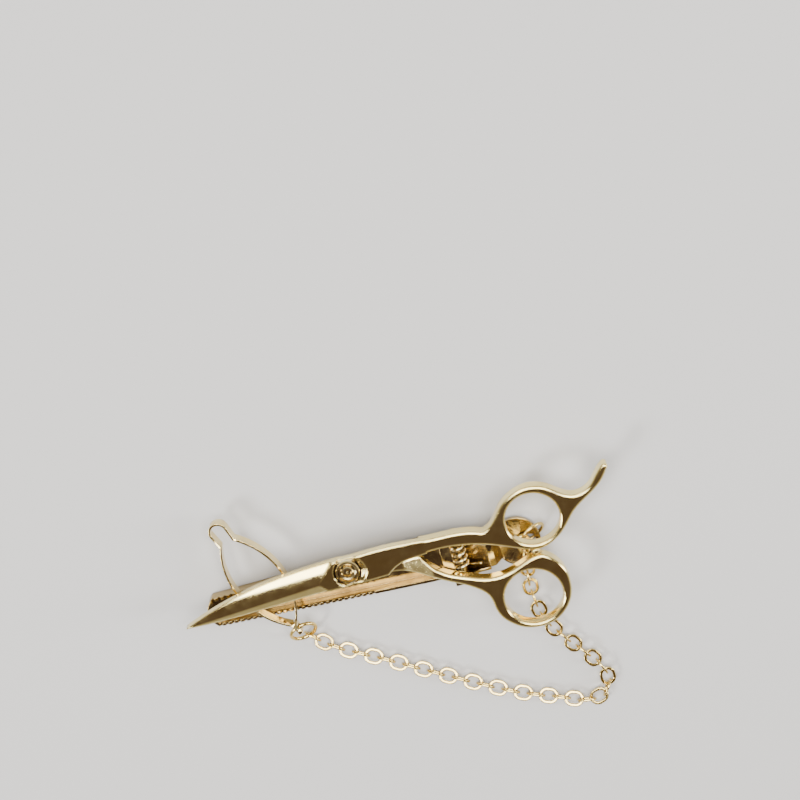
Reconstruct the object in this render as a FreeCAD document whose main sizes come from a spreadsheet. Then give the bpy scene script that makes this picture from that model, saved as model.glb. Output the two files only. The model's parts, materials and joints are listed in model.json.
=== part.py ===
import FreeCAD, Part
import math
import os

from FreeCAD import Placement, Rotation, Vector

# A tie clip shaped like a pair of shears, lying on its back. While it is built, the shears'
# pivot is at x = y = 0, the blades point to -X, the finger rings to +X, and z = 0 is the table.
# At the end every piece is moved so that the origin is the centre of the base.

os.makedirs("parts", exist_ok=True)
doc = FreeCAD.newDocument("shears_tie_clip")

# ---------------------------------------------------------------- driving dimensions, mm

DIMENSIONS = {
    # shears
    "blade_back_level": 4.75,
    "half_thickness": 1.10,
    "half_gap": 0.10,
    "front_face_level": 7.30,
    "handle_back_level": 5.00,
    "handle_face_level": 7.10,
    "handle_round": 0.32,
    "plate_round": 0.16,
    "upper_eye_radius": 3.80,
    "lower_eye_radius": 4.10,
    "blade_crown": 6.80,
    "edge_drop": 0.45,
    # pivot screw and bumper
    "recess_radius": 1.95,
    "recess_level": 6.62,
    "step_radius": 2.12,
    "step_offset": 0.30,
    "step_level": 6.98,
    "screw_head_radius": 1.72,
    "screw_head_height": 0.75,
    "screw_shank_radius": 0.90,
    "screw_clearance": 0.05,
    "rivet_radius": 1.45,
    "rivet_height": 0.35,
    "bumper_radius": 0.62,
    "bumper_length": 0.86,
    "bumper_stem_radius": 0.30,
    "bumper_stem_length": 0.80,
    "stem_clearance": 0.01,
    # clip
    "clip_centre": -3.05,
    "hinge_from_pivot": 15.40,
    "hinge_level": 3.00,
    "pin_radius": 0.45,
    "pin_head_radius": 0.72,
    "pin_head_height": 0.32,
    "sheet": 0.42,
    "ear_outside": 3.70,
    "ear_round": 1.05,
    "wall_gap": 0.10,
    "jaw_half_width": 2.20,
    "jaw_tip": -21.70,
    "jaw_back_level": 0.60,
    "jaw_rim_level": 2.72,
    "jaw_fall": 0.55,
    "tooth_pitch": 0.90,
    "tooth_depth": 0.38,
    "pad_half_length": 3.30,
    "pad_half_width": 3.65,
    "pad_rim_height": 0.22,
    "pad_rim_width": 0.30,
    "pad_hole_radius": 0.80,
    "spring_wire": 0.40,
    "spring_radius": 0.88,
    "spring_turns": 4.25,
    "spring_pitch": 0.92,
    # rings and chain
    "jump_ring_radius": 1.75,
    "jump_ring_wire": 0.46,
    "jump_ring_tilt": 50.0,
    "end_ring_radius": 1.85,
    "end_ring_wire": 0.55,
    "link_length": 2.86,
    "link_width": 2.34,
    "link_band": 0.44,
    "link_thickness": 0.32,
    "link_round": 0.12,
    "link_step": 1.93,
    "chain_level": 1.14,
    # button loop
    "ribbon_thickness": 0.30,
    "ribbon_width": 1.80,
    "ribbon_low": 2.85,
    "loop_length": 20.20,
    "loop_half_width": 3.60,
    "loop_neck": 1.10,
    "loop_head_radius": 1.20,
    "loop_eye_radius": 0.42,
}

sheet = doc.addObject("Spreadsheet::Sheet", "dimensions")
for row, (alias, value) in enumerate(DIMENSIONS.items(), start=1):
    sheet.set("A%d" % row, alias)
    sheet.set("B%d" % row, str(value))
    sheet.setAlias("B%d" % row, alias)
doc.recompute()


def size(alias):
    """A driving dimension, read back from the sheet."""
    return float(sheet.get(alias))


def bind(obj, **expressions):
    """Bind the object's properties to formulas over the sheet; a__b in a key means a.b."""
    for path, formula in expressions.items():
        for alias in sorted(DIMENSIONS, key=len, reverse=True):
            formula = formula.replace("@" + alias, "dimensions." + alias)
        obj.setExpression(path.replace("__", "."), formula)


# ---------------------------------------------------------------- shape helpers

UP = Vector(0, 0, 1)


def spline(*points):
    curve = Part.BSplineCurve()
    curve.interpolate([Vector(x, y, 0) for x, y in points])
    return curve.toShape()


def line(start, end):
    return Part.LineSegment(Vector(*start, 0), Vector(*end, 0)).toShape()


def arc(start, middle, end):
    return Part.Arc(Vector(*start, 0), Vector(*middle, 0), Vector(*end, 0)).toShape()


def slab(edges, low, high):
    """A flat plate between two levels, from the edges of its outline."""
    face = Part.Face(Part.Wire(edges))
    face.translate(Vector(0, 0, low))
    return face.extrude(Vector(0, 0, high - low))


def disc(radius, low, high, x=0.0, y=0.0):
    return Part.makeCylinder(radius, high - low, Vector(x, y, low), UP)


def block_over(start, end, outer_end, height=3.0):
    """A prism that stands on a sloping parallelogram, to cut away what lies over it."""
    start, end, outer_end = Vector(*start), Vector(*end), Vector(*outer_end)
    corners = [start, end, outer_end, start + outer_end - end]
    normal = (end - start).cross(outer_end - end).normalize()
    if normal.z < 0:
        normal = normal * -1
    return Part.Face(Part.makePolygon(corners + corners[:1])).extrude(normal * height)


def edges_on_level(shape, level):
    """The edges that lie wholly in the plane z = level."""
    on_level = []
    for edge in shape.Edges:
        box = edge.BoundBox
        if abs(box.ZMin - level) < 1e-4 and abs(box.ZMax - level) < 1e-4:
            on_level.append(edge)
    return on_level


def feature(name, shape):
    """A sub-part whose free-form shape no primitive or sketch feature fits."""
    obj = doc.addObject("Part::Feature", name)
    obj.Shape = shape
    obj.Label = name
    return obj


# ---------------------------------------------------------------- the shears

half_thickness = size("half_thickness")
rear_low = size("blade_back_level")
rear_high = rear_low + half_thickness
front_low = rear_high + size("half_gap")
front_high = size("front_face_level")
handle_low = size("handle_back_level")
handle_high = size("handle_face_level")
shank_radius = size("screw_shank_radius")

UPPER_EYE = (26.7, 1.65)
LOWER_EYE = (24.4, -9.9)
BLADE_TIP = (-24.15, -3.1)
RIDGE_START = (-24.6, -3.12)
RIDGE_END = (-4.45, -1.02)
FACE_CORNER = (-1.5, 2.3)


def handle(outline, eye, eye_radius):
    """A shank and its finger ring, rounded along every edge."""
    body = slab(outline, handle_low, handle_high).cut(disc(eye_radius, 0, 9, *eye))
    rims = edges_on_level(body, handle_high) + edges_on_level(body, handle_low)
    return body.makeFillet(size("handle_round"), rims)


def front_blade():
    """The front blade and plate: a hollow round the screw, a crowned face above a ridge, a bevel below it."""
    outline = [
        spline(BLADE_TIP, (-20.6, -1.6), (-13.5, 0.5), (-7.0, 1.5), (-1.25, 1.95)),
        line((-1.25, 1.95), (-1.1, 1.4)),
        line((-1.1, 1.4), (1.1, 1.4)),
        line((1.1, 1.4), (1.25, 2.05)),
        spline((1.25, 2.05), (6.0, 2.35), (11.4, 2.1)),
        line((11.4, 2.1), (11.4, 0.1)),
        spline((11.4, 0.1), (10.2, 0.0), (7.9, -0.35), (6.6, -0.95), (5.6, -1.75)),
        spline((5.6, -1.75), (1.9, -1.98), (-2.9, -2.2), (-9.6, -2.6), (-18.9, -3.15), BLADE_TIP),
    ]
    blade = slab(outline, front_low, front_high)
    plate_edges = [e for e in edges_on_level(blade, front_high)
                   if e.BoundBox.XMax > 11.3 and e.BoundBox.XLength > 0.5 and e.BoundBox.XMin > 1.2]
    blade = blade.makeFillet(size("plate_round"), plate_edges)
    ridge_start = (*RIDGE_START, front_high)
    ridge_end = (*RIDGE_END, front_high)
    bottom = front_high - size("edge_drop")
    crown = size("blade_crown")
    ridge = Vector(*ridge_end) - Vector(*ridge_start)
    reach = ridge.Length + 12
    ridge.normalize()
    bar = Part.makeCylinder(crown, reach, Vector(*ridge_start) - ridge * 6 - UP * crown, ridge)
    over_face = block_over((*RIDGE_START, front_low), (*RIDGE_END, front_low), (*FACE_CORNER, front_low))
    lower_bevel = block_over(ridge_start, ridge_end, (-2.9, -2.5, bottom))
    recess = disc(size("recess_radius"), size("recess_level"), 9)
    step = disc(size("step_radius"), size("step_level"), 9, size("step_offset"))
    rim = Part.makeCone(size("step_radius"), size("step_radius") + 0.2, 0.2,
                        Vector(size("step_offset"), 0, front_high - 0.19), UP)
    ramp = block_over((8.2, -3.0, front_high), (11.5, -3.0, handle_high), (11.5, 3.0, handle_high))
    return blade.cut([over_face.cut(bar), lower_bevel, recess, step, rim, ramp])


def front_handle():
    """The upper shank, the upper finger ring and the finger rest that curls away from it."""
    outline = [
        line((10.6, 0.05), (10.6, 2.15)),
        spline((10.6, 2.15), (13.2, 2.1), (16.0, 2.1), (19.5, 1.35)),
        spline((19.5, 1.35), (20.8, 2.1), (22.4, 4.2), (24.7, 5.95), (27.0, 6.5), (29.8, 5.65),
               (32.9, 3.85), (35.1, 4.5), (36.6, 6.3), (37.5, 7.2)),
        arc((37.5, 7.2), (38.15, 7.25), (38.1, 6.5)),
        spline((38.1, 6.5), (35.6, 3.7), (32.6, 1.5), (30.8, -0.7), (28.7, -2.4), (26.3, -3.0),
               (23.6, -2.2), (20.2, -0.85), (17.0, -0.05), (13.3, 0.25), (10.6, 0.05)),
    ]
    return handle(outline, UPPER_EYE, size("upper_eye_radius"))


def rear_blade():
    """The rear blade, which hides behind the front one, and its plate round the pivot."""
    outline = [
        spline((-23.0, -3.35), (-20.6, -2.3), (-13.5, 0.1), (-7.0, 1.1), (-1.25, 1.6)),
        arc((-1.25, 1.6), (0.0, 1.5), (1.25, 1.6)),
        spline((1.25, 1.6), (5.0, 1.7), (8.6, 0.9), (10.6, -0.9)),
        line((10.6, -0.9), (10.6, -3.3)),
        spline((10.6, -3.3), (10.1, -3.05), (8.3, -2.4), (5.8, -2.0)),
        spline((5.8, -2.0), (1.9, -2.2), (-2.9, -2.5), (-9.6, -2.9), (-18.9, -3.5), (-23.0, -3.35)),
    ]
    return slab(outline, rear_low, rear_high)


def rear_handle():
    """The lower shank, which climbs from behind the front plate, and the lower finger ring."""
    outline = [
        spline((6.2, -2.0), (7.0, -1.2), (8.2, -0.62), (10.2, -0.25)),
        spline((10.2, -0.25), (11.0, -1.6), (12.2, -2.8), (13.8, -3.9), (15.8, -4.75), (19.0, -5.75),
               (21.3, -5.6), (23.6, -4.75), (25.4, -4.05), (26.9, -3.9)),
        spline((26.9, -3.9), (28.6, -5.2), (29.65, -7.2), (29.85, -9.4), (29.25, -11.7), (27.9, -13.4),
               (26.3, -14.4), (24.4, -14.75), (22.4, -14.45), (20.5, -13.35), (19.2, -11.8),
               (18.7, -10.2), (18.45, -8.8), (17.8, -7.7), (16.8, -6.85), (15.5, -6.0),
               (13.4, -4.95), (11.5, -3.85), (10.1, -3.05), (8.3, -2.4), (6.2, -2.0)),
    ]
    foot = rear_high - 0.02
    level = block_over((5.0, -6.0, foot), (7.6, -6.0, foot), (7.6, 1.0, foot))
    slope = block_over((7.5, -6.0, foot), (11.6, -6.0, handle_high), (11.6, 1.0, handle_high))
    return handle(outline, LOWER_EYE, size("lower_eye_radius")).cut(level).cut(slope)


BUMPER_FOOT = Vector(26.1, -3.93, 0.5 * (handle_low + handle_high))


def bumper_stem(clearance):
    """The bumper's stem, or with some clearance the socket it sits in."""
    length = size("bumper_stem_length") + clearance
    return Part.makeCylinder(size("bumper_stem_radius") + clearance, length,
                             BUMPER_FOOT - Vector(0, length, 0), Vector(0, 1, 0))


def bumper():
    """The stop between the finger rings: a round head on a stem set in the lower ring."""
    head = Part.makeCylinder(size("bumper_radius"), size("bumper_length"), BUMPER_FOOT, Vector(0, 1, 0))
    head = head.makeFillet(0.12, head.Edges)
    return head.fuse(bumper_stem(0)).removeSplitter()


bumper_shape = bumper()
front_shape = front_blade().fuse(front_handle()).cut(disc(shank_radius, 0, 9)).removeSplitter()
rear_shape = rear_blade().fuse(rear_handle())
rear_shape = rear_shape.cut(disc(shank_radius + size("screw_clearance"), 0, 9))
head_seat = Part.makeCylinder(size("bumper_radius") + size("stem_clearance"), 2.0,
                              BUMPER_FOOT - Vector(0, size("stem_clearance"), 0), Vector(0, 1, 0))
rear_shape = rear_shape.cut([bumper_stem(size("stem_clearance")), head_seat]).removeSplitter()
feature("front_shear", front_shape)
feature("rear_shear", rear_shape)
feature("ring_bumper", bumper_shape)


# ---------------------------------------------------------------- bodies turned from a profile

def origin_plane(body, role):
    return next(f for f in body.Origin.OriginFeatures if f.Role == role)


def turned(name, profile):
    """A body of revolution about its own Z axis, from (radius, level) corners on the XZ plane."""
    body = doc.addObject("PartDesign::Body", name)
    body.Label = name
    sketch = body.newObject("Sketcher::SketchObject", name + "_profile")
    sketch.AttachmentSupport = [(origin_plane(body, "XZ_Plane"), "")]
    sketch.MapMode = "FlatFace"
    corners = [Vector(r, z, 0) for r, z in profile]
    for start, end in zip(corners, corners[1:] + corners[:1]):
        sketch.addGeometry(Part.LineSegment(start, end), False)
    turn = body.newObject("PartDesign::Revolution", name + "_turn")
    turn.Profile = sketch
    turn.ReferenceAxis = (origin_plane(body, "Z_Axis"), [""])
    turn.Angle = 360
    body.Tip = turn
    return body


def pivot_screw():
    """The pivot: a dished head with a small dome in it, a shank, and a riveted rear end."""
    seat = size("recess_level")
    rim = seat + size("screw_head_height")
    head = size("screw_head_radius")
    rivet = size("rivet_radius")
    foot = rear_low - size("rivet_height")
    return turned("pivot_screw", [
        (0, foot), (rivet - 0.25, foot), (rivet, foot + 0.15), (rivet, rear_low - 0.03),
        (shank_radius, rear_low - 0.03), (shank_radius, seat), (head, seat),
        (head, rim - 0.15), (head - 0.12, rim), (head - 0.32, rim), (head - 0.48, rim - 0.34),
        (0.98, rim - 0.40), (0.86, rim - 0.12), (0.76, rim), (0.56, rim),
        (0.46, rim - 0.24), (0.32, rim - 0.24), (0.22, rim - 0.04), (0, rim)])


def hinge_pin():
    """The rivet that the clip turns on, with a head outside each ear."""
    outside = size("ear_outside")
    head = size("pin_head_radius")
    end = outside + size("pin_head_height")
    pin = size("pin_radius")
    return turned("hinge_pin", [
        (0, -end), (head - 0.15, -end), (head, -end + 0.12), (head, -outside), (pin, -outside),
        (pin, outside), (head, outside), (head, end - 0.12), (head - 0.15, end), (0, end)])


# The clip is soldered on a little askew: all of it is turned about its hinge by this many degrees.
CLIP_TURN = 1.5

pivot_screw()
pin_body = hinge_pin()
hinge_centre = Vector(size("hinge_from_pivot"), size("clip_centre"), size("hinge_level"))
pin_body.Placement = Placement(hinge_centre, Rotation(UP, CLIP_TURN) * Rotation(Vector(1, 0, 0), 90))

# ---------------------------------------------------------------- the clip's bracket

# Boxes of sheet, each as (start, end) along X, (low, high) across the clip, and the level of its foot.
BRACKET_PLATE_END = 14.5
BRACKET_BOXES = {
    "plate": ((13.0, BRACKET_PLATE_END), ("-2.2", "@ear_outside"), "@handle_back_level - @sheet"),
    "shoulder": ((14.0, 15.3), ("-@ear_outside", "-2.1"), "@handle_back_level - @sheet"),
    "arm_far": ((13.0, 16.45), ("@ear_outside - @sheet", "@ear_outside"), "@hinge_level"),
    "arm_near": ((14.35, 16.45), ("-@ear_outside", "@sheet - @ear_outside"), "@hinge_level"),
}


def along_y(name, radius, low, high):
    """A cylinder across the clip, centred on the hinge, between two distances from the clip's centre."""
    bar = doc.addObject("Part::Cylinder", name)
    bar.Placement = Placement(Vector(), Rotation(Vector(1, 0, 0), -90))
    bind(bar, Radius=radius, Height="(%s) - (%s)" % (high, low),
         Placement__Base__x="@hinge_from_pivot", Placement__Base__y="@clip_centre + (%s)" % low,
         Placement__Base__z="@hinge_level")
    return bar


def bracket():
    """The bracket: a plate soldered under the shanks, and an ear each side down to the pin."""
    pieces = []
    for name, ((start, end), (low, high), foot) in BRACKET_BOXES.items():
        box = doc.addObject("Part::Box", "bracket_" + name)
        bind(box, Length="%g" % (end - start), Width="(%s) - (%s)" % (high, low),
             Height="@handle_back_level - (%s)" % foot, Placement__Base__x="%g" % start,
             Placement__Base__y="@clip_centre + (%s)" % low, Placement__Base__z=foot)
        pieces.append(box)
        if name.startswith("arm"):
            pieces.append(along_y("bracket_ear_" + name[4:], "@ear_round", low, high))
    joined = doc.addObject("Part::MultiFuse", "bracket_blank")
    joined.Shapes = pieces
    bore = along_y("bracket_bore", "@pin_radius", "-@ear_outside - 1", "@ear_outside + 1")
    cut = doc.addObject("Part::Cut", "clip_bracket")
    cut.Base = joined
    cut.Tool = bore
    cut.Label = "clip_bracket"
    cut.Placement = Placement(Vector(), Rotation(UP, CLIP_TURN), hinge_centre)


bracket()

# ---------------------------------------------------------------- the jaw and its lever

clip_y = size("clip_centre")
sheet_gauge = size("sheet")
hinge_x = size("hinge_from_pivot")
hinge_z = size("hinge_level")
back = size("jaw_back_level")
rim_level = size("jaw_rim_level")
HINGE_WALL = size("ear_outside") - sheet_gauge - size("wall_gap")
jaw_fall = size("jaw_fall")
FLAT_FROM = 12.0
JAW_END = -22.5
PAD_CENTRE = (23.75, -4.0)
PAD_HOLE = (25.495, -4.155)


def askew(shape):
    """The shape turned about the hinge with the rest of the clip."""
    shape.rotate(hinge_centre, UP, CLIP_TURN)
    return shape


def profile_solid(points, y_low, y_high):
    """A prism along Y from (x, z) corners."""
    corners = [Vector(x, y_low, z) for x, z in points]
    return Part.Face(Part.makePolygon(corners + corners[:1])).extrude(Vector(0, y_high - y_low, 0))


def jaw_plan(inset):
    """The jaw and lever seen from above, with the wall's thickness taken off for the hollow."""
    tip = size("jaw_tip") + inset
    jaw = size("jaw_half_width") - inset
    wide = HINGE_WALL - inset
    side = [(tip + 1.1, jaw), (10.5, wide), (19.3, wide)]
    far = [(x, clip_y + w) for x, w in side]
    near = [(x, clip_y - w) for x, w in side]
    edges = [line(a, b) for a, b in zip(far, far[1:])]
    edges.append(line(far[-1], near[-1]))
    edges += [line(b, a) for a, b in zip(reversed(near[:-1]), reversed(near[1:]))]
    edges.append(arc(near[0], (tip, clip_y), far[0]))
    return slab(Part.__sortEdges__(edges), -1, 8)


FLOOR = [(JAW_END, -jaw_fall), (FLAT_FROM, 0.0), (15.2, 0.25), (17.2, 1.0), (19.2, 1.95), (19.75, 1.85),
         (20.7, 0.0)]
STEP_HALF = 2.4
STEP_MIDDLE = -3.6


def pad_plate(inset, low, high):
    """The oval of the thumb pad between two levels, or of its dish when there is an inset."""
    across, along = size("pad_half_width") - inset, size("pad_half_length") - inset
    oval_edge = Part.Ellipse(Vector(0, 0, 0), across, along).toShape()
    oval_edge.rotate(Vector(), UP, 90)
    oval_edge.translate(Vector(*PAD_CENTRE, 0))
    return slab([oval_edge], low, high)


def jaw_lever():
    """One stamping: a toothed channel, ears round the pin, a hump, a step and a dished round pad."""
    floor = [(x, back + z) for x, z in FLOOR]
    wall_top = [(20.2, back + 2.1), (19.2, back + 2.75), (17.6, back + 2.8), (16.9, hinge_z + 0.95),
                (13.9, hinge_z + 0.95), (FLAT_FROM, rim_level), (JAW_END, rim_level - jaw_fall)]
    lifted = [(x, z + sheet_gauge) for x, z in floor[:-2]] + [(20.4, floor[-2][1] + sheet_gauge)]
    channel = jaw_plan(0).common(profile_solid(floor[:-1] + wall_top, -12, 6))
    hollow = jaw_plan(sheet_gauge).common(profile_solid(lifted + [(20.4, 9.0), (JAW_END, 9.0)], -12, 6))
    channel = channel.cut(hollow)
    step_near, step_far = STEP_MIDDLE - STEP_HALF, STEP_MIDDLE + STEP_HALF
    step = profile_solid([floor[-3], floor[-2], floor[-1], (21.3, back), (21.3, back + sheet_gauge),
                          (21.05, back + sheet_gauge), (20.1, floor[-2][1] + sheet_gauge),
                          (19.2, floor[-3][1] + sheet_gauge)], step_near, step_far)
    pad = pad_plate(0, back, back + sheet_gauge)
    dish_rim = pad_plate(0, back, back + sheet_gauge + size("pad_rim_height"))
    dish_rim = dish_rim.cut(pad_plate(size("pad_rim_width"), back, 4))
    dish_rim = dish_rim.cut(Part.makeBox(3, 2 * STEP_HALF, 4, Vector(18.8, step_near, 0)))
    lever = channel.fuse([step, pad, dish_rim])
    lever = lever.cut(disc(size("pad_hole_radius"), 0, 4, *PAD_HOLE))
    pin_hole = Part.makeCylinder(size("pin_radius") + 0.05, 12, Vector(hinge_x, clip_y - 6, hinge_z),
                                 Vector(0, 1, 0))
    return askew(lever.cut(pin_hole).cut(teeth()).removeSplitter())


def teeth():
    """The notches filed across the jaw's two rims."""
    pitch = size("tooth_pitch")
    depth = size("tooth_depth")
    notches = []
    x = size("jaw_tip") + 1.3
    while x < 3.0:
        rim = rim_level - jaw_fall * (FLAT_FROM - x) / (FLAT_FROM - JAW_END)
        notches.append(profile_solid([(x, rim - depth), (x + 0.4 * pitch, rim + 0.2),
                                      (x - 0.4 * pitch, rim + 0.2)], clip_y - 4, clip_y + 4))
        x += pitch
    return Part.makeCompound(notches)


feature("jaw_lever", jaw_lever())


def rod(start, end, radius):
    """A straight wire between two points, round at both ends."""
    along = end - start
    wire = Part.makeCylinder(radius, along.Length, start, along)
    return wire.fuse([Part.makeSphere(radius, start), Part.makeSphere(radius, end)])


def clip_spring():
    """The torsion spring: a coil round the pin, a leg on the lever, a leg on the bracket's edge."""
    wire = size("spring_wire") / 2
    radius = size("spring_radius")
    pitch = size("spring_pitch")
    length = pitch * size("spring_turns")
    path = Part.Wire(Part.makeHelix(pitch, length, radius).Edges)
    section = Part.Wire(Part.makeCircle(wire, Vector(radius, 0, 0), Vector(0, 1, 0)))
    coil = path.makePipeShell([section], True, True)
    coil.rotate(Vector(), UP, 90)
    coil.rotate(Vector(), Vector(1, 0, 0), -90)
    coil.translate(Vector(hinge_x, clip_y - length / 2, hinge_z))
    near, far = clip_y - length / 2, clip_y + length / 2
    lever_leg = rod(Vector(hinge_x, near, hinge_z - radius), Vector(18.0, near, 3.07), wire)
    bracket_leg = rod(Vector(hinge_x - radius, far - 0.04, hinge_z - 0.06),
                      Vector(BRACKET_PLATE_END + 0.25, far, 4.75), wire)
    return askew(coil.fuse([lever_leg, bracket_leg]).removeSplitter())


feature("clip_spring", clip_spring())

# ---------------------------------------------------------------- the button loop

LOOP_EYE = Vector(-9.26, -8.58, size("ribbon_low"))
LOOP_HEADING = 112.2
TAIL = 1.2
EYE_FROM_END = 0.45


def button_loop():
    """A keyhole of flat ribbon standing on edge: a long leaf, a neck, a small round head, a tail."""
    length = size("loop_length")
    half = size("ribbon_thickness") / 2
    head = size("loop_head_radius")
    neck = (length - 3.3, size("loop_neck"))
    widest = (0.49 * length, size("loop_half_width"))
    shoulder = (length - head, head)

    def mirrored(point):
        return (point[0], -point[1])

    path = Part.Wire([
        arc((TAIL, half), widest, neck),
        line(neck, shoulder),
        arc(shoulder, (length, 0), mirrored(shoulder)),
        line(mirrored(shoulder), mirrored(neck)),
        arc(mirrored(neck), mirrored(widest), (TAIL, -half)),
        line((TAIL, -half), (TAIL, half)),
    ])
    outside = Part.Face(path).makeOffset2D(half)
    inside = Part.Face(path).makeOffset2D(-half)
    width = size("ribbon_width")
    band = outside.cut(inside).extrude(UP * width)
    tail = Part.makeBox(TAIL + 0.6, 4 * half, width, Vector(-0.35, -2 * half, 0))
    eye = Part.makeCylinder(size("loop_eye_radius"), 4, Vector(EYE_FROM_END, -2, width / 2),
                           Vector(0, 1, 0))
    loop = band.fuse(tail).cut(eye).removeSplitter()
    loop.rotate(Vector(), UP, LOOP_HEADING)
    loop.translate(LOOP_EYE)
    return loop


feature("button_loop", button_loop())

# ---------------------------------------------------------------- rings and chain


def ring(name, centre, normal, radius, wire):
    """A plain wire ring, given by its centre and the normal of its plane."""
    torus = doc.addObject("Part::Torus", name)
    torus.Label = name
    bind(torus, Radius1="@" + radius, Radius2="@%s / 2" % wire)
    torus.Placement = Placement(centre, Rotation(UP, normal))


JUMP_RING_CENTRE = Vector(26.10, -2.67, 1.62)
JUMP_RING_AXIS = Vector(0.828, 0.563, 0)
CHAIN_END_ON_RING = Vector(-8.71, -10.94, 1.42)

jump_tilt = Rotation(JUMP_RING_AXIS, size("jump_ring_tilt"))
ring("jump_ring", JUMP_RING_CENTRE, jump_tilt.multVec(UP), "jump_ring_radius", "jump_ring_wire")

tail_along = Rotation(UP, LOOP_HEADING).multVec(Vector(1, 0, 0))
eye_centre = LOOP_EYE + tail_along * EYE_FROM_END + UP * size("ribbon_width") / 2
ring("end_ring", (eye_centre + CHAIN_END_ON_RING) * 0.5,
     (CHAIN_END_ON_RING - eye_centre).cross(UP.cross(tail_along)), "end_ring_radius", "end_ring_wire")

TABLE = size("chain_level")
CHAIN_ROUTE = [
    (24.55, -4.02, 1.83), (24.42, -5.95, 2.44), (24.15, -7.98, 2.26), (24.03, -9.97, 1.28),
    (24.04, -11.94, TABLE), (24.72, -15.93, TABLE), (26.63, -19.5, TABLE), (28.86, -22.43, TABLE),
    (30.89, -25.27, TABLE), (31.83, -27.81, TABLE), (30.79, -30.28, TABLE), (28.29, -30.88, TABLE),
    (25.66, -30.03, TABLE), (20.28, -27.98, TABLE), (12.92, -24.31, TABLE), (5.91, -20.31, TABLE),
    (-0.96, -16.34, TABLE), (-5.72, -13.56, TABLE), (-8.22, -11.35, TABLE),
]
LINK_LEAN = Vector(0.08, 0.33, 0.94)
FIRST_ROLL = 30.0
ROLLED_LINKS = 4


def oval(length, width, low, high):
    """A slab with straight sides and half-round ends, its length along X."""
    radius = width / 2
    half_straight = length / 2 - radius
    block = Part.makeBox(2 * half_straight, width, high - low, Vector(-half_straight, -radius, low))
    ends = [disc(radius, low, high, end) for end in (-half_straight, half_straight)]
    return block.fuse(ends).removeSplitter()


def link_shape():
    """One link of the cable chain: an oval of flattened wire, lying flat with its length along X."""
    length, width, band = size("link_length"), size("link_width"), size("link_band")
    half = size("link_thickness") / 2
    link = oval(length, width, -half, half).cut(oval(length - 2 * band, width - 2 * band, -half, half))
    rims = edges_on_level(link, half) + edges_on_level(link, -half)
    return link.makeFillet(size("link_round"), rims)


def chain():
    """The links at even steps along the route, each one turned a quarter from the one before."""
    route = Part.BSplineCurve()
    route.interpolate([Vector(*point) for point in CHAIN_ROUTE])
    edge = route.toShape()
    count = 2 * math.ceil((edge.Length / size("link_step") + 1) / 2)
    centres = edge.discretize(count)
    master = link_shape()
    for index, centre in enumerate(centres):
        before = centres[max(index - 1, 0)]
        after = centres[min(index + 1, count - 1)]
        along = (after - before).normalize()
        normal = (LINK_LEAN - along * LINK_LEAN.dot(along)).normalize()
        roll = FIRST_ROLL * max(0.0, 1.0 - index / ROLLED_LINKS)
        if index % 2:
            roll += 90
        normal = Rotation(along, roll).multVec(normal)
        link = feature("chain_link_%02d" % (index + 1), master.copy())
        link.Placement = Placement(centre, Rotation(along, normal.cross(along), normal, "XZY"))
    print("chain: %d links, %.2f mm apart, %.1f mm long"
          % (count, edge.Length / (count - 1), edge.Length + size("link_length")))


chain()
doc.recompute()

# ---------------------------------------------------------------- centred on the base, and written out

PIECES = ["front_shear", "rear_shear", "ring_bumper", "pivot_screw", "hinge_pin", "clip_bracket",
          "jaw_lever", "clip_spring", "button_loop", "jump_ring", "end_ring"]
pieces = [obj for obj in doc.Objects
          if obj.Label in PIECES or obj.Label.startswith("chain_link_")]

whole = FreeCAD.BoundBox()
for piece in pieces:
    whole.add(piece.Shape.optimalBoundingBox())
shift = Vector(-whole.Center.x, -whole.Center.y, -whole.ZMin)
print("moved by", tuple(round(c, 3) for c in shift))
print("overall", round(whole.XLength, 2), round(whole.YLength, 2), round(whole.ZLength, 2))

for piece in pieces:
    placed = piece.Placement
    piece.Placement = Placement(placed.Base + shift, placed.Rotation)
doc.recompute()

for obj in doc.Objects:
    bad = [state for state in obj.State if state in ("Invalid", "Error")]
    if bad:
        raise RuntimeError("%s is %s" % (obj.Label, bad))

for piece in pieces:
    shape = piece.Shape
    if shape.isNull() or not shape.isValid() or not shape.Solids:
        raise RuntimeError("%s has no valid solid" % piece.Label)
    shape.exportStep("parts/%s.step" % piece.Label)
print("pieces", len(pieces))
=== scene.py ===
import json
import math

import bmesh
import bpy
from mathutils import Matrix, Vector


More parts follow.
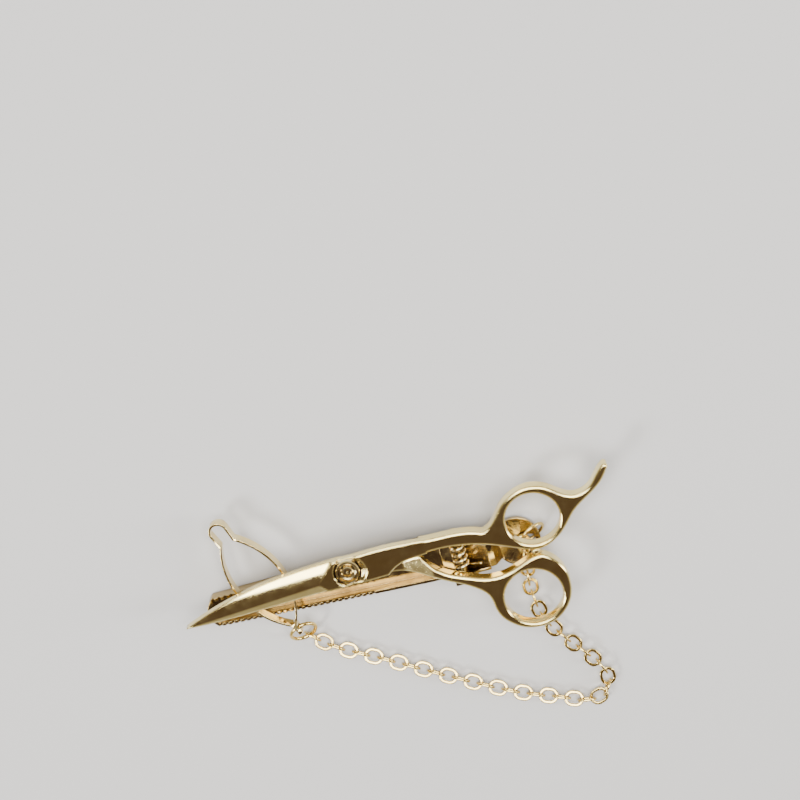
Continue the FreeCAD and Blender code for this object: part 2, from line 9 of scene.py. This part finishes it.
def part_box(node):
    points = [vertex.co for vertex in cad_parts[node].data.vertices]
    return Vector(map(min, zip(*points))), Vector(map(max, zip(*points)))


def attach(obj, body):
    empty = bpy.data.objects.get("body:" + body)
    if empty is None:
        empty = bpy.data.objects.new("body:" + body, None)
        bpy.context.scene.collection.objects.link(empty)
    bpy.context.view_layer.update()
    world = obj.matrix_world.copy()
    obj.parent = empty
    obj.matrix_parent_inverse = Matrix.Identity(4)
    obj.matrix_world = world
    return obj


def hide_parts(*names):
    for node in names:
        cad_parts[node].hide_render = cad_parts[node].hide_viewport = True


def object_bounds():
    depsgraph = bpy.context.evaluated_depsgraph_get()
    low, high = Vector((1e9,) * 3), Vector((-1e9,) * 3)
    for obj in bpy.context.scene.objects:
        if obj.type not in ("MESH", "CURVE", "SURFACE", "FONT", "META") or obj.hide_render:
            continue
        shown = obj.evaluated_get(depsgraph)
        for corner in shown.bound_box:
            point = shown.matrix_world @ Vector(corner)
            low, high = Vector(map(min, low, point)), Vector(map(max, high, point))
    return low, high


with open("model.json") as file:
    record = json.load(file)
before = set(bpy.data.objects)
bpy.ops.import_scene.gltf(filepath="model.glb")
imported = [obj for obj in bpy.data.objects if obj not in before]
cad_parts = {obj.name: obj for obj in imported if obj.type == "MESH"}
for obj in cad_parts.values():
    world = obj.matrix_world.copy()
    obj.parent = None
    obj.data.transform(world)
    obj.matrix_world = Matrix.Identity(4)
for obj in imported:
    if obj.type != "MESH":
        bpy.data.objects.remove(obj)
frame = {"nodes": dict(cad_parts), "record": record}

CAD_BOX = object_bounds()
MM = 0.001
NODES = frame["nodes"]
BODY_OF = {node: body for body, nodes in frame["record"]["behaviour"]["bodies"].items() for node in nodes}

# ---------------------------------------------------------------- materials

# A dark brown that serves twice: painted shade in the creases, and the real colour of the brown specks of
# pits.
SHADE_AND_PIT_BROWN = (0.16, 0.10, 0.045)

# How fine each pattern is, in cycles per millimetre.
TONE_SCALE = 0.30
WAVE_SCALE = 0.40
GLOSS_SCALE = 0.9
SCRATCH_SCALE = 3.0
SPECK_SCALE = 5.0
SPECK_STRENGTH = 0.35
# Where specks begin and are full in their noise, and where the painted shade in the creases is full and ends
# in the open sky seen.
SPECK_RANGE = (0.68, 0.76)
CREASE_RANGE = (0.30, 0.80)
SCRATCH_TURN = (0.2, 0.1, 0.3)
SCRATCH_STRETCH = (0.25, 4.0, 1.0)


def new_material(name):
    material = bpy.data.materials.new(name)
    material.use_nodes = True
    tree = material.node_tree
    return material, tree, tree.nodes["Principled BSDF"]


def noise(tree, vector, scale, detail):
    """Noise with its scale in cycles per millimetre."""
    node = tree.nodes.new("ShaderNodeTexNoise")
    node.inputs["Scale"].default_value = scale / MM
    node.inputs["Detail"].default_value = detail
    tree.links.new(vector, node.inputs["Vector"])
    return node.outputs["Fac"]


def span(tree, value, low, high, start=0.3, end=0.7):
    """A value from start..end mapped to low..high."""
    node = tree.nodes.new("ShaderNodeMapRange")
    node.inputs["From Min"].default_value = start
    node.inputs["From Max"].default_value = end
    node.inputs["To Min"].default_value = low
    node.inputs["To Max"].default_value = high
    tree.links.new(value, node.inputs["Value"])
    return node.outputs["Result"]


def mixed(tree, factor, first, second):
    """Two colours mixed by a factor; each is a colour or a socket."""
    node = tree.nodes.new("ShaderNodeMix")
    node.data_type = "RGBA"
    # The node lists sockets for every data type; these are the factor and the two colours.
    factor_in, first_in, second_in = node.inputs[0], node.inputs[6], node.inputs[7]
    tree.links.new(factor, factor_in)
    for colour, socket in ((first, first_in), (second, second_in)):
        if isinstance(colour, tuple):
            socket.default_value = (*colour, 1)
        else:
            tree.links.new(colour, socket)
    return node.outputs[2]


def bumped(tree, height, depth, under):
    """A normal with a bump of some depth in millimetres laid over the normal below it."""
    node = tree.nodes.new("ShaderNodeBump")
    node.inputs["Strength"].default_value = 1.0
    node.inputs["Distance"].default_value = depth * MM
    tree.links.new(height, node.inputs["Height"])
    tree.links.new(under, node.inputs["Normal"])
    return node.outputs["Normal"]


def gilt(name, light, dark, gloss, ripple, scratches=0.003, shade_strength=0.6, reach=0.5, rounding=0.0):
    """Gold plate: two tones, uneven gloss, soft waves, fine scratches, painted shade in the creases and brown
    specks as pits.

    gloss is the range of roughness. ripple and scratches are the depths of the waves and the scratches, reach
    is how far the painted shade in a crease spreads and rounding how soft the polished edges look, all in
    millimetres.
    """
    material, tree, shader = new_material(name)
    place = tree.nodes.new("ShaderNodeTexCoord").outputs["Object"]
    tone = mixed(tree, span(tree, noise(tree, place, TONE_SCALE, 3), 0.0, 1.0), light, dark)
    # Ambient occlusion paints shade into creases and recesses: the less open sky a point sees, the nearer its
    # colour goes to the dark brown.
    crease = tree.nodes.new("ShaderNodeAmbientOcclusion")
    crease.samples = 8
    crease.inputs["Distance"].default_value = reach * MM
    painted_shade_mask = span(tree, crease.outputs["AO"], shade_strength, 0.0, *CREASE_RANGE)
    shaded_tone = mixed(tree, painted_shade_mask, tone, SHADE_AND_PIT_BROWN)
    specks = span(tree, noise(tree, place, SPECK_SCALE, 2), 0.0, SPECK_STRENGTH, *SPECK_RANGE)
    tree.links.new(mixed(tree, specks, shaded_tone, SHADE_AND_PIT_BROWN), shader.inputs["Base Color"])
    shader.inputs["Metallic"].default_value = 1.0
    tree.links.new(span(tree, noise(tree, place, GLOSS_SCALE, 4), *gloss), shader.inputs["Roughness"])
    stretch = tree.nodes.new("ShaderNodeMapping")
    stretch.inputs["Rotation"].default_value = SCRATCH_TURN
    stretch.inputs["Scale"].default_value = SCRATCH_STRETCH
    tree.links.new(place, stretch.inputs["Vector"])
    worn = tree.nodes.new("ShaderNodeBevel")
    worn.samples = 6
    worn.inputs["Radius"].default_value = rounding * MM
    waves = bumped(tree, noise(tree, place, WAVE_SCALE, 1), ripple, worn.outputs["Normal"])
    hairlines = bumped(tree, noise(tree, stretch.outputs["Vector"], SCRATCH_SCALE, 3), scratches, waves)
    tree.links.new(hairlines, shader.inputs["Normal"])
    return material


CAST_GOLD = gilt("gilt_casting", (0.97, 0.82, 0.38), (0.88, 0.70, 0.28), gloss=(0.07, 0.15), ripple=0.006,
                 rounding=0.45)
SCREW_GOLD = gilt("gilt_turning", (0.97, 0.83, 0.44), (0.88, 0.71, 0.33), gloss=(0.14, 0.20), ripple=0.0,
                  scratches=0.001, shade_strength=1.0, reach=1.2)
WIRE_GOLD = gilt("gilt_wire", (0.88, 0.67, 0.25), (0.72, 0.52, 0.17), gloss=(0.10, 0.20), ripple=0.004,
                 shade_strength=0.85, reach=0.8, rounding=0.1)
RIBBON_GOLD = gilt("gilt_ribbon", (0.93, 0.77, 0.38), (0.80, 0.62, 0.28), gloss=(0.12, 0.24), ripple=0.014,
                   rounding=0.1)
# The stamped clip parts get a far darker gold than the casting: painted shade and painted dark reflection
# standing in for the dark box lining the clip sits in.
STAMPED_GOLD = gilt("gilt_stamping", (0.56, 0.43, 0.20), (0.36, 0.26, 0.11), gloss=(0.12, 0.26), ripple=0.012,
                    shade_strength=0.85, reach=2.2, rounding=0.1)
SPRING_GOLD = gilt("gilt_spring", (0.92, 0.79, 0.48), (0.78, 0.63, 0.34), gloss=(0.10, 0.18), ripple=0.0)

MATERIAL_OF = {
    "front_shear": CAST_GOLD,
    "rear_shear": CAST_GOLD,
    "ring_bumper": CAST_GOLD,
    "pivot_screw": SCREW_GOLD,
    "hinge_pin": SCREW_GOLD,
    "clip_bracket": STAMPED_GOLD,
    "jaw_lever": STAMPED_GOLD,
    "clip_spring": SPRING_GOLD,
    "button_loop": RIBBON_GOLD,
}
for node, obj in NODES.items():
    for slot in obj.material_slots:
        slot.material = MATERIAL_OF.get(node, WIRE_GOLD)

# ---------------------------------------------------------------- rounded pieces

# Corners closer than this are joined, and edges sharper than this are rounded.
MERGE = 0.0005 * MM
SHARP_ANGLE = math.radians(32)


def softened(node, width):
    """A piece that stands for a CAD node: its shape, with every sharp edge rounded over a width in mm."""
    mesh = NODES[node].data.copy()
    work = bmesh.new()
    work.from_mesh(mesh)
    bmesh.ops.remove_doubles(work, verts=work.verts, dist=MERGE)
    for face in work.faces:
        face.smooth = True
    work.to_mesh(mesh)
    work.free()
    mesh.materials.clear()
    mesh.materials.append(MATERIAL_OF[node])
    piece = bpy.data.objects.new(node + "_rounded", mesh)
    bpy.context.scene.collection.objects.link(piece)
    bevel = piece.modifiers.new("rounded_edges", "BEVEL")
    bevel.width = width * MM
    bevel.segments = 3
    bevel.limit_method = "ANGLE"
    bevel.angle_limit = SHARP_ANGLE
    bevel.miter_outer = "MITER_ARC"
    even = piece.modifiers.new("even_shading", "WEIGHTED_NORMAL")
    even.keep_sharp = False
    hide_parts(node)
    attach(piece, BODY_OF[node])


# How wide the rounded edges are, in millimetres.
EDGE_WIDTHS = {
    "jaw_lever": 0.07,
    "clip_bracket": 0.07,
    "button_loop": 0.08,
}
for node, width in EDGE_WIDTHS.items():
    softened(node, width)

# ---------------------------------------------------------------- floor, light and camera

SCREW_LOW, SCREW_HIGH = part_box("pivot_screw")
PIVOT = Vector(((SCREW_LOW.x + SCREW_HIGH.x) / 2, (SCREW_LOW.y + SCREW_HIGH.y) / 2, SCREW_HIGH.z))
TURN = math.radians(13.8)
TILT = math.radians(20)
RIGHT = Vector((math.cos(TURN), -math.sin(TURN), 0))
AHEAD = Vector((math.sin(TURN), math.cos(TURN), 0))
UP = AHEAD * math.cos(TILT) - Vector((0, 0, math.sin(TILT)))
TOWARDS_CAMERA = AHEAD * math.sin(TILT) + Vector((0, 0, math.cos(TILT)))
VIEW_WIDTH = 111.1 * MM
LENS = 85.0
SENSOR = 36.0
DISTANCE = VIEW_WIDTH * LENS / SENSOR
AIM_RIGHT = 7.3
AIM_UP = 24.0
AIM = PIVOT + RIGHT * AIM_RIGHT * MM + UP * AIM_UP * MM
FLOOR_SIZE = 3.0
FLOOR_COLOUR = (0.57, 0.56, 0.545)
FLOOR_ROUGHNESS = 0.9
LIGHT_DISTANCE = 0.42
NEAREST_SEEN = 0.01

camera_data = bpy.data.cameras.new("camera")
camera_data.lens = LENS
camera_data.sensor_width = SENSOR
camera_data.clip_start = NEAREST_SEEN
camera = bpy.data.objects.new("camera", camera_data)
bpy.context.scene.collection.objects.link(camera)
camera.matrix_world = Matrix.Translation(AIM + TOWARDS_CAMERA * DISTANCE) @ Matrix(
    (RIGHT, UP, TOWARDS_CAMERA)).transposed().to_4x4()
bpy.context.scene.camera = camera

bpy.ops.mesh.primitive_plane_add(size=FLOOR_SIZE, location=(0, 0, CAD_BOX[0][2]))
floor = bpy.context.object
floor.name = "floor"
floor_material, _, floor_shader = new_material("pale_floor")
floor_shader.inputs["Base Color"].default_value = (*FLOOR_COLOUR, 1)
floor_shader.inputs["Roughness"].default_value = FLOOR_ROUGHNESS
floor.data.materials.append(floor_material)

# A studio that is pale around the horizon and dark overhead, so flat faces go deep and rounded edges shine.
PALE_WALLS = (0.62, 0.58, 0.50)
DARK_CEILING = (0.105, 0.074, 0.060)
# The walls end and the ceiling begins at these heights, as parts of the way from the horizon to overhead.
CEILING_RANGE = (0.45, 0.80)
world = bpy.data.worlds.new("world")
world.use_nodes = True
sky = world.node_tree
height = sky.nodes.new("ShaderNodeSeparateXYZ")
sky.links.new(sky.nodes.new("ShaderNodeTexCoord").outputs["Generated"], height.inputs["Vector"])
upward = span(sky, height.outputs["Z"], 0.0, 1.0, *CEILING_RANGE)
sky.links.new(mixed(sky, upward, PALE_WALLS, DARK_CEILING), sky.nodes["Background"].inputs["Color"])
bpy.context.scene.world = world


def softbox(name, turn, lean, size, power):
    """An area light that faces the pivot.

    turn runs from AHEAD towards RIGHT and lean from straight up, in degrees. size is in metres and power in
    watts.
    """
    across = AHEAD * math.cos(math.radians(turn)) + RIGHT * math.sin(math.radians(turn))
    towards = across * math.sin(math.radians(lean)) + Vector((0, 0, math.cos(math.radians(lean))))
    light = bpy.data.lights.new(name, "AREA")
    light.shape = "RECTANGLE"
    light.size, light.size_y = size
    light.energy = power
    lamp = bpy.data.objects.new(name, light)
    bpy.context.scene.collection.objects.link(lamp)
    lamp.location = PIVOT + towards * LIGHT_DISTANCE
    lamp.rotation_euler = towards.to_track_quat("Z", "Y").to_euler()


softbox("top", 0, 17, (0.34, 0.24), 3.2)
softbox("left", -121, 43, (0.12, 0.12), 1.4)
softbox("right", 80, 64, (0.08, 0.26), 1.2)
